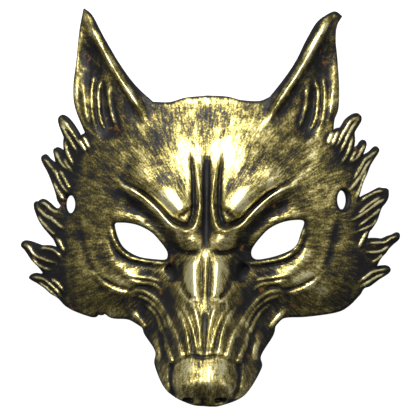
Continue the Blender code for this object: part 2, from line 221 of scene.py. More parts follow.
# The mane's locks from the ear down, drawn on the sheet: each lock's edge, then its strands
MANE: dict[Side, tuple[Lock, ...]] = {
    Side.LEFT: (
        Lock(
            ((84.5, 136), (82.8, 133.6), (80, 133), (77.8, 134.6), (76.4, 136.4)),
            (((81, 135), (84, 141), (88, 148)),),
        ),
        Lock(
            ((76.4, 136.4), (72, 129), (66.4, 121.4), (61, 116), (57, 114), (54, 115.6), (53.4, 120),
             (55.6, 127), (59.5, 136)),
            (
                ((57, 117), (64, 125), (71, 134), (79, 146)),
                ((56, 120), (61, 130), (67, 139), (75, 152)),
                ((76, 138), (80, 144), (84, 151)),
            ),
        ),
        Lock(
            ((59.5, 136), (58.8, 141), (59.4, 149), (60.5, 155.4)),
            (((60.8, 139), (62.6, 148), (66, 156), (71, 165)),),
        ),
        Lock(
            ((60.5, 155.4), (57, 150.6), (53, 147.2), (49.6, 146.6), (47.6, 149), (48.6, 154),
             (50.8, 163)),
            (((49.6, 149), (53, 156), (58, 163), (65, 169)), ((60, 158), (64, 164), (70, 171))),
        ),
        Lock(
            ((50.8, 163), (45, 159.6), (40, 156), (38, 153.4), (35.4, 154), (34, 157), (36, 162),
             (41, 170), (45, 178), (48.4, 186), (51, 193), (53, 200), (57.6, 206.6)),
            (
                ((37, 156), (42, 161), (47, 167), (51, 174)),
                ((50, 166), (52.4, 174), (56.4, 182), (62, 189), (67, 192)),
                ((54.6, 168), (60, 176), (64, 183), (67, 189)),
                ((48, 180), (53, 189), (59, 197), (62, 203)),
            ),
        ),
        Lock(
            ((57.6, 206.6), (51, 208.4), (46, 205.4), (42, 202), (38, 199.4), (34, 198.8), (31.4, 201.2),
             (28.8, 201), (27, 203), (27.4, 208), (29.6, 214), (33, 221), (38, 228),
             (44, 234.4), (49, 240), (53.6, 249.4)),
            (
                ((35, 200.6), (42, 204.6), (48, 209.6), (56, 212)),
                ((28.6, 203.6), (35, 210.6), (41, 215.4), (48, 219), (55, 225), (63, 229)),
                ((31, 214), (36, 221.6), (44, 229), (52, 236)),
                ((53, 238), (57, 244), (61, 252)),
            ),
        ),
        Lock(
            ((53.6, 249.4), (48, 247), (42, 246), (35, 246), (30, 244.4), (24, 242.4), (18, 241.4),
             (14.4, 243), (13.6, 246.4), (17, 250), (21, 255.6), (24, 260), (28, 264),
             (32, 267.8), (38, 275)),
            (
                ((17.6, 243.6), (23, 248.4), (28, 255), (36, 258.6), (43, 261), (52, 263)),
                ((34, 247.6), (43, 248.4), (51, 251), (59, 259)),
                ((24, 257), (31, 264.6), (38, 268), (46, 270)),
            ),
        ),
        Lock(
            ((38, 275), (33, 275.4), (28, 274.8), (23.4, 276.2), (21.6, 279), (25.4, 281.6), (31, 284.6),
             (38, 289), (45, 294.8), (52, 298.6), (60, 306.8)),
            (
                ((24, 278.4), (31, 278), (38, 280), (45, 285), (52, 291.4), (58, 299)),
                ((31, 282.6), (39, 287), (47, 294), (56, 300)),
                ((46, 279), (53, 284), (60, 292)),
            ),
        ),
    ),
    Side.RIGHT: (
        Lock(
            ((333.2, 131.3), (337, 127.8), (341, 127), (344, 124), (347, 119), (351, 115.4), (355, 113),
             (359, 112.8), (361.2, 115), (361.2, 119), (359, 123.4), (356, 128),
             (354.4, 132), (354.8, 139), (353.6, 148)),
            (
                ((358, 115.4), (351, 119), (346, 127), (341, 136), (336, 146)),
                ((357, 119), (352, 126), (348, 133), (344, 143), (339, 153)),
                ((353, 134), (350, 144), (346, 155), (340, 163)),
                ((333, 131), (330, 137), (328, 144)),
                ((338, 130), (335, 137), (332, 145)),
            ),
        ),
        Lock(
            ((353.6, 148), (357, 146), (360, 144.4), (362, 141.4), (364.4, 139), (366.2, 141),
             (366, 145), (362.5, 154.6)),
            (
                ((364.8, 141.6), (361, 150), (356, 157), (349, 162)),
                ((355, 149), (352.6, 155), (350, 160)),
            ),
        ),
        Lock(
            ((362.5, 154.6), (366, 153.4), (371, 150.6), (374, 148), (376, 145.8), (378.2, 146),
             (379.3, 149), (377.4, 153), (374, 158), (370, 165), (367, 173), (364, 179.4),
             (361.4, 187), (358, 199.4)),
            (
                ((377.6, 148), (371, 153.6), (365, 158), (361, 165), (357, 172), (353, 179)),
                ((374, 156), (368, 162), (363, 170), (359, 177), (354, 184), (348, 190)),
                ((367, 168), (363, 179), (359, 190), (356, 198)),
            ),
        ),
        Lock(
            ((358, 199.4), (364, 195.6), (371, 192), (377, 188.6), (380.4, 187), (384, 187.6),
             (388, 188), (389, 192), (388.4, 197), (386, 202), (382, 207), (380, 212),
             (378.4, 217), (376.4, 221.6), (372.4, 228), (369.4, 231.6), (367, 239.4)),
            (
                ((385, 189.4), (376, 191), (367, 195.4), (360, 200)),
                ((387, 197), (378, 202), (369, 208.6), (360, 215), (351, 220)),
                ((381, 196), (374, 200), (366, 206), (358, 213)),
                ((383, 206), (375, 213), (367, 219), (358, 226)),
                ((378, 216), (374, 223), (367, 227), (357, 231)),
                ((368, 230), (363, 238), (358, 248)),
            ),
        ),
        Lock(
            ((367, 239.4), (372, 238.6), (378, 238.6), (383, 239), (388, 236.8), (393, 235.2),
             (397, 233), (400, 234.4), (399.2, 239), (394, 244), (389, 249), (386, 253.4),
             (382, 257.4), (379, 262), (376.4, 267.6)),
            (
                ((398.4, 235.4), (391, 238), (385, 242), (377, 242.6), (368, 243)),
                ((390, 245), (383, 250), (375, 252), (366, 252)),
                ((383, 254), (378, 259), (371, 263)),
            ),
        ),
        Lock(
            ((376.4, 267.6), (382, 267), (387, 266.8), (390.4, 268.6), (390.2, 272.4), (386, 276),
             (380, 279.6), (374, 284), (369, 287.4), (364, 289), (360.3, 295)),
            (
                ((388, 269.4), (380, 270.4), (372, 272.6), (366, 277), (359, 282)),
                ((386, 273.6), (378, 276.6), (370, 281), (361, 287)),
            ),
        ),
    ),
}
JAW_EDGE: dict[Side, Rows] = {
    Side.LEFT: (
        (-74.7, -50.8), (-70.0, -53.4), (-62.5, -56.0), (-58.9, -56.6), (-57.2, -55.2), (-55.2, -55.6),
        (-53.4, -54.7), (-51.2, -56.3), (-48.0, -57.2), (-40.9, -57.6), (-33.4, -61.6),
    ),
    Side.RIGHT: (
        (77.9, -44.8), (71.7, -51.0), (65.0, -54.2), (50.0, -56.2), (39.4, -56.6), (34.6, -60.6),
    ),
}
LIP_EDGE: dict[Side, Rows] = {
    Side.LEFT: (
        (-33.4, -61.6), (-32.0, -65.4), (-26.2, -73.4), (-26.3, -80.4), (-19.0, -92.8), (-7.2, -98.9),
        (3.0, -100.0),
    ),
    Side.RIGHT: (
        (34.6, -60.6), (33.4, -65.6), (27.6, -75.4), (27.8, -82.0), (20.0, -94.7), (9.4, -99.4),
        (3.0, -100.0),
    ),
}
EYE_EDGE: dict[Side, Rows] = {
    Side.LEFT: (
        (-48.2, -9.0), (-44.2, -7.4), (-36.0, -8.5), (-28.7, -12.2), (-24.0, -17.0), (-20.3, -22.6),
        (-21.0, -26.4), (-25.0, -27.0), (-36.0, -25.4), (-44.4, -19.6),
    ),
    Side.RIGHT: (
        (49.8, -6.6), (41.5, -6.4), (34.0, -9.0), (28.4, -13.6), (22.6, -21.8), (25.0, -26.8),
        (35.4, -25.2), (45.0, -20.6), (48.4, -13.2),
    ),
}

# Height under each tenth of the half width, as shares of the depth, for each y share
SECTIONS: tuple[tuple[float, tuple[float, ...]], ...] = (
    (100, (44, 44, 43, 42, 40, 38, 35, 30, 24, 22, 20)),
    (80, (45, 45, 44, 43, 42, 40, 36, 30, 23, 18, 15)),
    (62, (45, 45, 44, 43, 42, 40, 36, 29, 20, 14, 10)),
    (50, (49, 49, 48, 46, 44, 40, 36, 28, 18, 8, 3)),
    (40, (53, 53, 52, 50, 47, 43, 37, 28, 15, 4, -1)),
    (27, (58, 58, 57, 54, 50, 45.5, 38.5, 28, 14, 1.6, -3)),
    (13, (61, 61, 60, 56, 51.5, 46.5, 39.5, 30, 17, 5.5, 0)),
    (0, (62, 63, 61, 55, 50.5, 46.5, 40.5, 31.5, 19, 7.5, 2)),
    (-13, (64, 64, 58, 50, 47, 43.5, 39, 31, 19.5, 8, 3)),
    (-24, (69, 63, 51, 46, 44, 42, 38, 30, 19, 8, 2)),
    (-38, (76, 70, 54, 45, 43, 40.5, 35.5, 27, 16, 6, 1)),
    (-51, (83, 77, 59, 44, 37, 33, 27.5, 20, 12, 5, 1)),
    (-64, (89, 84, 66, 46, 34, 27, 21, 15, 10, 6, 3)),
    (-77, (94, 90, 72, 49, 34, 25, 18, 12, 8, 5, 3)),
    (-90, (98, 95, 80, 55, 38, 27, 19, 13, 9, 6, 4)),
    (-100, (92, 88, 70, 46, 32, 23, 17, 12, 9, 6, 4)),
)

# Folds: the route, the width and the height, then what is not as usual
BROW_FOLDS = (
    Fold(
        ((48, 16.6), (43, 11.5), (38, 9.2), (32, 5.8), (24.6, -1.0), (18.2, -8.2), (13, -10.8),
         (8.8, -11.4), (5.4, -8.8), (3.6, -1), (3.4, 6), (4.4, 15), (6.0, 22)),
        0.9, 36, lee=3.0, power=1.6, end=0.5,
    ),
    Fold(((39, 10.4), (32, 7.2), (24, 0.6), (18, -5.4), (13, -8.2), (9.4, -8.4), (7.4, -5)), 1.5, -46),
    Fold(((9.4, -8.0), (6.9, -3), (6.6, 8), (7.0, 18), (8.0, 27)), 1.3, -36, end=0.8),
    Fold(((42, 19), (30, 13), (20, 6), (14, 0), (11.6, -3.5)), 8.4, 50, lee=7.0),
    Fold(((10.4, -15.0), (8.6, -16.4), (7.2, -16.4)), 5.4, 56, power=2.4, fades=(False, False)),
    Fold(((44, 4), (34, -1.6), (25, -9), (18.6, -18), (15.4, -25)), 4.8, -38),
    Fold(((16.5, -21.0), (9, -22.8), (4, -22.0)), 1.2, -30),
    Fold(((0, 28), (0.4, 12), (0, -2), (0, -19)), 2.2, -26, power=2.6),
)
EYE_FOLDS = (
    Fold(((50.5, -5.4), (46, -4.2), (38, -5.4), (31, -8.6), (25, -13.4), (19.6, -20), (18, -25)), 2.8, 9),
    Fold(
        ((49.4, -9), (48.4, -14), (45.4, -20.2), (40, -25), (33, -27.0), (24, -28.2), (19.6, -28)),
        0.9, 22, power=1.6,
    ),
    Fold(((50, -15), (47.4, -22.2), (41, -27.0), (33, -29.0), (24, -30.2)), 0.9, -16),
    Fold(((52, -20), (49, -26.4), (44, -31.0), (38, -33.0), (32, -33.8)), 3.4, 12, lee=3.0, end=0.7),
    Fold(((37.6, -4.4), (33.6, -5.4), (30.6, -7.4)), 2.2, 10),
    Fold(((20.6, -29), (17, -33), (15.4, -38.5)), 3.4, -60),
    Fold(((44, -33.6), (37, -35.4), (30, -36.0), (24, -37.4)), 1.4, 18, end=0.6),
    Fold(((42, -36.6), (35, -38.2), (28, -39.0), (23, -42)), 1.3, 16, end=0.6),
    Fold(((56, -35), (48, -39.6), (41, -41.6), (32, -41.0), (27, -43.5)), 1.3, -16),
    Fold(
        ((68.4, -1.5), (66, -8), (63.5, -18), (60.5, -28), (55, -36.4), (47, -41)),
        2.4, -9, lee=5.0, end=0.6,
    ),
    Fold(((60, -32), (54, -38.6), (47, -42.6), (41, -44)), 2.4, 12, lee=1.2, end=0.6),
)
MUZZLE_FOLDS = (
    Fold(((7.2, -23.6), (6.4, -36), (5.4, -48)), 3.2, 36, lee=3.0, power=2.4),
    Fold(((0.2, -24), (0, -36), (0, -47)), 0.8, 16),
    Fold(((2.2, -24), (2.0, -36), (1.6, -47)), 0.8, -14),
    Fold(((13.4, -26), (12, -38), (8.4, -47)), 2.2, -26),
    Fold(((14.6, -40), (10.6, -45), (7.2, -48)), 1.2, 26),
    Fold(((8.8, -43), (7.4, -46)), 1.3, -46),
    Fold(((7, -47.5), (4.4, -53), (2.8, -60), (2.0, -67), (1.6, -74)), 1.1, 46, power=1.7),
    Fold(((11.0, -51), (8.0, -56), (5.8, -61.5), (4.4, -67), (3.2, -74)), 1.0, 42, power=1.7),
    Fold(((14.4, -51.4), (11.6, -56), (9.6, -61), (8.4, -66), (7.0, -76)), 1.3, 50, power=1.7),
    Fold(((17.8, -58), (14.6, -64), (12.8, -70), (10.8, -77)), 1.2, 46, power=1.7),
    Fold(((20.8, -68.6), (18.2, -74), (16.4, -79)), 1.2, 44, power=1.7),
    Fold(
        ((40, -41.4), (33, -42.6), (27, -46), (22.6, -51), (19.4, -56), (17, -62), (15.4, -68)),
        1.5, 48, power=1.8,
    ),
    Fold(((37, -44.6), (30.6, -47), (25, -51.6), (21.6, -57), (19.6, -63)), 1.3, 40, power=1.8),
    Fold(((33, -48.6), (27.4, -53), (24, -58.6), (22, -65)), 1.2, 34, power=1.8),
    Fold(((39, -53), (34.4, -58), (31.6, -62)), 1.4, 26),
    Fold(((27, -67), (25, -72), (24.4, -78)), 1.3, 34),
    Fold(((24, -62), (22, -70), (20.6, -78)), 1.6, -30),
    Fold(((0, -52), (0.6, -60), (0.4, -68)), 0.8, -16),
    Fold(((0, -75.4), (6, -74.6), (11, -76.0), (15, -79)), 1.0, -18, fades=(False, True)),
    Fold(((0, -84), (6, -84.6), (10, -87)), 8.8, 40, power=2.6, fades=(False, False)),
    Fold(((15.4, -77), (17.4, -84), (16.6, -91), (14, -96)), 1.7, -48),
    Fold(((14, -93.6), (12, -95.6), (8, -95.4), (4, -97)), 0.8, 22),
    Fold(((11.4, -96.8), (8, -96.4), (5, -97.2)), 1.5, -70, power=2.4),
    Fold(((0, -95), (0, -100)), 1.6, -16),
)
EAR_FOLDS = (
    Fold(
        ((63.2, 98), (59, 90), (54.6, 82), (49.6, 73), (44.4, 64.6), (39.4, 57), (34.8, 50), (31, 43)),
        3.4, 74, lee=2.4, power=2.2, end=0.8,
    ),
    Fold(((62.4, 88), (60.4, 76), (58, 64), (54.4, 52), (50, 40), (48, 32)), 7.0, -50, power=2.4),
    Fold(((64.6, 96), (66.4, 84), (67.6, 70), (68.4, 60), (67.4, 50), (64, 42)), 1.2, 14),
    Fold(((64.4, 62), (63.4, 55), (62.6, 48), (60.8, 42)), 1.0, 22, power=1.8, end=0.6),
    Fold(((58.4, 67), (59.4, 60), (59.4, 52), (58.8, 46), (57.0, 39)), 1.2, 34, power=1.8, end=0.6),
    Fold(((54.6, 65), (56.0, 59), (55.9, 52), (54.9, 45), (52.0, 38.5)), 1.3, 38, power=1.8, end=0.6),
    Fold(((51.0, 61), (50.6, 56), (50.0, 51), (48.5, 45), (46.4, 40)), 1.2, 34, power=1.8, end=0.6),
    Fold(((60, 94), (56, 86), (50.6, 77), (45.4, 68.6), (40, 60)), 0.8, -16),
)

# Patches of paint and of painted light and shade: centre, radii and the gold they add. Some paint highlights,
# some dim highlights with painted shade, and some one-sided ones paint the left side darker and the right
# side lighter, as the light falls from the right
PAINT_AND_LIGHT_PATCHES = (
    Patch((0, 54.5), (34, 2.2), 0.22),
    Patch((0, -50), (5, 4), -0.22),
    Patch((0, 46), (24, 5), -0.14),
    Patch((25, 40), (5, 12), -0.16, sides=(Side.LEFT,)),
    # Partly painted highlights: more gold where the light shines brightest on the forehead
    Patch((0, 33), (21, 9), 0.20),
    Patch((12, 20), (7, 11), 0.12),
    Patch((14, 12), (8, 4), -0.16),
    # Partly painted highlight on the brow pads
    Patch((17, 1), (7, 6), 0.16),
    Patch((0, 8), (5, 20), -0.20),
    Patch((46, 30), (13, 17), -0.10),
    Patch((62, 20), (10, 20), -0.08),
    Patch((52, 3), (14, 8), -0.18),
    Patch((9, -19), (6, 4), -0.06),
    # Partly painted highlight along the bridge
    Patch((6.4, -36), (5, 14), 0.14),
    Patch((0, -88), (11, 5), -0.10),
    Patch((17, -28), (4, 7), -0.24),
    Patch((17, -36), (4, 5), -0.20),
    Patch((24, -66), (6, 12), -0.10),
    Patch((0, -95), (15, 3), -0.22),
    Patch((22, -86), (5, 10), -0.16),
    # Painted shade: dims the highlight on the crease under the eyes
    Patch((40, -46), (18, 5), -0.10),
    Patch((62, -44), (16, 8), -0.08),
    Patch((64, -20), (10, 16), -0.14),
    # Painted shade: the left temple darker, as the light falls from the right
    Patch((54, 24), (16, 22), -0.30, sides=(Side.LEFT,)),
    Patch((36, 2), (9, 6), 0.10),
    # Painted light: the right of the muzzle lighter, as the light falls from the right
    Patch((22, -62), (10, 14), 0.10, sides=(Side.RIGHT,)),
    Patch((38, 44), (10, 8), -0.10),
    Patch((72, 8), (5, 22), -0.10),
    Patch((47, 50), (5, 13), -0.20),
    # Painted light: the right cheek and temple lighter, as the light falls from the right
    Patch((80, -4), (14, 34), 0.14, sides=(Side.RIGHT,)),
    # Painted shade: dims the highlights under the eyes, the right one more
    Patch((34, -33), (10, 5), -0.12, sides=(Side.RIGHT,)),
    Patch((46, -27), (8, 5), -0.12),
    Patch((17, -80), (5, 8), -0.14),
)

# Strokes of paint along a route, as folds whose height is the gold they add, in hundredths
STROKES = (
    Fold(((61.0, 98), (54, 88), (46.4, 76), (38, 64), (31, 56)), 2.0, -60, lee=2.4, end=1.4),
    Fold(
        ((62.6, 96), (58.6, 89.5), (54.2, 81.5), (49.2, 72.6), (44.0, 64.2), (39.0, 56.6), (34.4, 49.6)),
        1.1, 26,
    ),
    Fold(
        ((48, 16.6), (43, 11.5), (38, 9.2), (32, 5.8), (24.6, -1.0), (18.2, -8.2), (13, -10.8)),
        0.9, 26,
    ),
    Fold(((7.4, -23.6), (6.6, -36), (4.6, -48), (3.0, -60)), 2.4, 22),
    Fold(((30, -19), (22, -27), (18, -33), (20, -40)), 3.0, -16),
)


class Curves:
    """Smooth routes in plan."""

    steps = 14

    def __init__(self, size: MaskSize) -> None:
        """Args: size: the mask's sizes."""
        self.size = size

    @staticmethod
    def hermite(before: Array, start: Array, end: Array, after: Array, part: Array) -> Array:
        """The cubic from start to end whose slope at each end is half the way between its neighbours.

        Args: before, start, end, after: four values in a row. part: how far along, from 0 to 1.
        Returns: the curve's value at each part.
        """
        leave = (end - before) / 2
        arrive = (after - start) / 2
        turn = start - end
        bend = -3 * turn - 2 * leave - arrive
        twist = 2 * turn + leave + arrive
        return start + part * (leave + part * (bend + part * twist))

    def route(self, rows: Rows) -> Array:
        """Args: rows: points in shares. Returns: the smooth curve through them, as plan points."""
        points = np.array([self.size.place(x, y) for x, y in rows])
        padded = np.vstack((2 * points[0] - points[1], points, 2 * points[-1] - points[-2]))
        parts = np.linspace(0, 1, self.steps, endpoint=False)[:, None]
        spans = [self.hermite(*padded[i : i + 4], parts) for i in range(len(points) - 1)]
        return np.vstack((*spans, points[-1:]))


class CutEdges:
    """The mask's cut edge, eye openings and strap slots in plan."""

    slot_steps = 40
    block_size = 512

    def __init__(self, size: MaskSize, curves: Curves) -> None:
        """Args: size: the mask's sizes. curves: makes the routes."""
        self.size = size
        self.curves = curves
        eyes = [self.eye(side) for side in BOTH]
        self.loops = [self.outline(), *eyes, *(self.slot(slot) for slot in size.slots)]

    def side(self, side: Side) -> Array:
        """Args: side: the side. Returns: its edge from the forehead's middle almost to the nose's."""
        upper = (FOREHEAD_EDGE, EAR_INNER_EDGE, EAR_OUTER_EDGE)
        stretches = [self.curves.route(edge[side])[:-1] for edge in upper]
        for lock in MANE[side]:
            shares = SHEET.shares(lock.edge, side, self.size)
            stretches.append(self.curves.route(shares)[:-1] * (side.value, 1))
        stretches += [self.curves.route(edge[side])[:-1] for edge in (JAW_EDGE, LIP_EDGE)]
        return np.vstack(stretches)

    def outline(self) -> Array:
        """The whole cut edge, anticlockwise."""
        nose = np.array([self.size.place(*LIP_EDGE[Side.LEFT][-1])])
        return np.vstack((self.side(Side.LEFT), nose, self.side(Side.RIGHT)[:0:-1]))

    def eye(self, side: Side) -> Array:
        """Args: side: the side. Returns: the closed edge of its eye opening."""
        rows = EYE_EDGE[side]
        closed = self.curves.route(rows + rows[:3])
        return closed[self.curves.steps : self.curves.steps * (len(rows) + 1)]

    def slot(self, slot: Slot) -> Array:
        """Args: slot: a strap slot. Returns: its oval edge."""
        turns = np.linspace(0, 2 * np.pi, self.slot_steps, endpoint=False)
        oval = np.column_stack((slot.half_width * np.cos(turns), slot.half_length * np.sin(turns)))
        return np.array(self.size.place(*slot.centre)) + oval

    @staticmethod
    def inside(points: Array, edge: Array) -> Array:
        """Whether each point is inside a closed edge: it is when a line from it crosses the edge an odd time.

        Args: points: plan points. edge: the closed edge.
        Returns: true or false for each point.
        """
        odd = np.zeros(len(points), bool)
        for start, end in zip(edge, np.roll(edge, -1, axis=0)):
            if start[1] == end[1]:
                continue
            spans = (start[1] > points[:, 1]) != (end[1] > points[:, 1])
            crossing = (end[0] - start[0]) * (points[:, 1] - start[1]) / (end[1] - start[1]) + start[0]
            odd ^= spans & (points[:, 0] < crossing)
        return odd

    def on_foam(self, points: Array) -> Array:
        """Args: points: plan points. Returns: whether each one lies on the foam, clear of the openings."""
        kept = self.inside(points, self.loops[0])
        for loop in self.loops[1:]:
            kept &= ~self.inside(points, loop)
        return kept

    def nearest(self, points: Array) -> Array:
        """Args: points: plan points. Returns: the nearest place on any cut edge to each."""
        starts = np.vstack(self.loops)
        ends = np.vstack([np.roll(loop, -1, axis=0) for loop in self.loops])
        along = ends - starts
        squared = np.maximum((along**2).sum(axis=1), TINY**2)
        found = np.empty_like(points)
        for first in range(0, len(points), self.block_size):
            block = points[first : first + self.block_size, None]
            part = np.clip(((block - starts) * along).sum(axis=2) / squared, 0, 1)
            on_edge = starts + part[..., None] * along
            best = ((on_edge - block) ** 2).sum(axis=2).argmin(axis=1)
            found[first : first + self.block_size] = on_edge[np.arange(len(best)), best]
        return found


class FaceForm:
    """The height of the face over the plan.

    fade_share is the part of a route over which a fold fades, least_fade what is left of it at the tip, and
    reach how many of its widths away a fold is still felt.
    """

    fade_share = 0.2
    least_fade = 0.12
    reach = 2.8

    def __init__(self, size: MaskSize, curves: Curves) -> None:
        """Args: size: the mask's sizes. curves: makes the routes."""
        self.size = size
        self.curves = curves
        self.strands = self.mane_strands()

    def mane_strands(self) -> list[Fold]:
        """Every mane lock's raised strands, as folds."""
        found = []
        for side, locks in MANE.items():
            for strand in (strand for lock in locks for strand in lock.strands):
                rows = SHEET.shares(strand, side, self.size)
                found.append(Fold(rows, width=0.85, height=30, power=1.7, end=0.7, sides=(side,)))
        return found

    def sections(self, points: Array) -> Array:
        """Args: points: plan points. Returns: the height of the plain face, cubic across and then along."""
        last = len(SECTIONS[0][1]) - 1
        across = np.clip(np.abs(points[:, 0]) / self.size.half_width * last, 0, last - TINY)
        column = across.astype(int)
        part = across - column
        heights = []
        for _, row in SECTIONS:
            padded = np.array((row[1], *row, 2 * row[-1] - row[-2]), float)
            heights.append(self.curves.hermite(*(padded[column + k] for k in range(4)), part))
        heights = np.array(heights)[::-1]
        stations = np.array([self.size.place(0, y)[1] for y, _ in SECTIONS])[::-1]
        lengthwise = np.clip(points[:, 1], stations[0], stations[-1] - TINY)
        row = np.clip(np.searchsorted(stations, lengthwise, side="right") - 1, 0, len(stations) - 2)
        part = (lengthwise - stations[row]) / (stations[row + 1] - stations[row])
        index = np.arange(len(points))
        around = [heights[np.clip(row + k, 0, len(stations) - 1), index] for k in (-1, 0, 1, 2)]
        return self.curves.hermite(*around, part) * self.size.depth / 100

    def fading(self, fold: Fold, share: Array) -> Array:
        """Args: fold: the fold. share: places along its route. Returns: how much of it is left at each."""
        ways = [way if fades else np.ones(len(share)) for way, fades in zip((share, 1 - share), fold.fades)]
        fade = np.clip(np.minimum(*ways) / self.fade_share, 0, 1)
        return self.least_fade + (1 - self.least_fade) * fade * fade * (3 - 2 * fade)

    def fold(self, points: Array, fold: Fold) -> Array:
        """How far a fold lifts each point.

        Args: points: plan points. fold: the fold.
        Returns: height times exp(-(away/width)^power), faded at the ends of the route.
        """
        lifted = np.zeros(len(points))
        unit = self.size.spread / 100
        line = self.curves.route(fold.rows)
        share = np.linspace(0, 1, len(line))
        fade = self.fading(fold, share)
        taper = 1 + (fold.end - 1) * share
        lee = fold.lee or fold.width
        felt = self.reach * max(fold.width, lee) * unit
        for side in fold.sides:
            path = line * (side.value, 1)
            low = path.min(axis=0) - felt
            high = path.max(axis=0) + felt
            near = np.flatnonzero(((points > low) & (points < high)).all(axis=1))
            if not len(near):
                continue
            tangent = np.gradient(path, axis=0)
            step = np.linalg.norm(tangent, axis=1)
            tangent /= step[:, None]
            away = points[near, None] - path[None]
            best = (away**2).sum(axis=2).argmin(axis=1)
            away = away[np.arange(len(near)), best]
            direction = tangent[best]
            cross = direction[:, 0] * away[:, 1] - direction[:, 1] * away[:, 0]
            beyond = np.maximum(np.abs((away * direction).sum(axis=1)) - step[best] / 2, 0)
            width = np.where(cross * side.value > 0, lee, fold.width) * unit * taper[best]
            shape = np.exp(-((np.hypot(cross, beyond) / width) ** fold.power)) * fade[best]
            lifted[near] = np.maximum(lifted[near], shape)
        return lifted * fold.height * self.size.relief / 100

    def height(self, points: Array) -> Array:
        """Args: points: plan points. Returns: the outer face's height at each."""
        height = self.sections(points)
        for fold in (*BROW_FOLDS, *EYE_FOLDS, *MUZZLE_FOLDS, *EAR_FOLDS, *self.strands):
            height += self.fold(points, fold)
        return height


@dataclass(frozen=True)
class Grid:
    """The grid in plan: the x of its columns and the y of its rows."""

    columns: Array
    rows: Array

    @property
    def shape(self) -> tuple[int, int]:
        """How many rows and columns it has."""
        return len(self.rows), len(self.columns)

    def points(self) -> Array:
        """Its points, row by row."""
        x, y = np.meshgrid(self.columns, self.rows)
        return np.column_stack((x.ravel(), y.ravel()))

    def blurred(self, values: Array, cells: int) -> Array:
        """Args: values: one for each point. cells: the half width. Returns: them after three box means."""
        result = values.reshape(self.shape)
        for axis in (0, 1) * 3:
            pad = [(0, 0), (0, 0)]
            pad[axis] = (cells + 1, cells)
            total = np.cumsum(np.pad(result, pad, mode="edge"), axis=axis)
            upper = np.take(total, range(2 * cells + 1, total.shape[axis]), axis=axis)
            lower = np.take(total, range(0, total.shape[axis] - 2 * cells - 1), axis=axis)
            result = (upper - lower) / (2 * cells + 1)
        return result.ravel()

    def normals(self, height: Array) -> Array:
        """Args: height: one for each point. Returns: the surface's unit normals, from its two slopes."""
        heights = height.reshape(self.shape)
        across = np.gradient(heights, self.columns, axis=1).ravel()
        along = np.gradient(heights, self.rows, axis=0).ravel()
        normals = np.column_stack((-across, -along, np.ones(len(height))))
        return normals / np.linalg.norm(normals, axis=1)[:, None]


@dataclass(frozen=True)
class Faces:
    """The outer face's quads, its corner triangles, and the directed edges that only one of them uses."""

    quads: Array
    triangles: Array
    rim: Array

    @classmethod
    def around(cls, quads: Array, triangles: Array) -> "Faces":
        """Args: quads, triangles: faces, as point numbers. Returns: them with their rim."""
        sides = []
        for faces in (quads, triangles):
            corners = faces.shape[1]
            sides += [faces[:, [k, (k + 1) % corners]] for k in range(corners)]
        edges = np.vstack(sides)
        _, first, uses = np.unique(np.sort(edges, axis=1), axis=0, return_index=True, return_counts=True)
        return cls(quads, triangles, edges[first[uses == 1]])

    def renumbered(self) -> tuple["Faces", Array]:
        """Returns: the faces with the points they use numbered from 0, and those points' old numbers."""
        used = np.unique(np.concatenate((self.quads.ravel(), self.triangles.ravel())))
        number = np.full(used[-1] + 1, -1)
        number[used] = np.arange(len(used))
        return Faces(number[self.quads], number[self.triangles], number[self.rim]), used


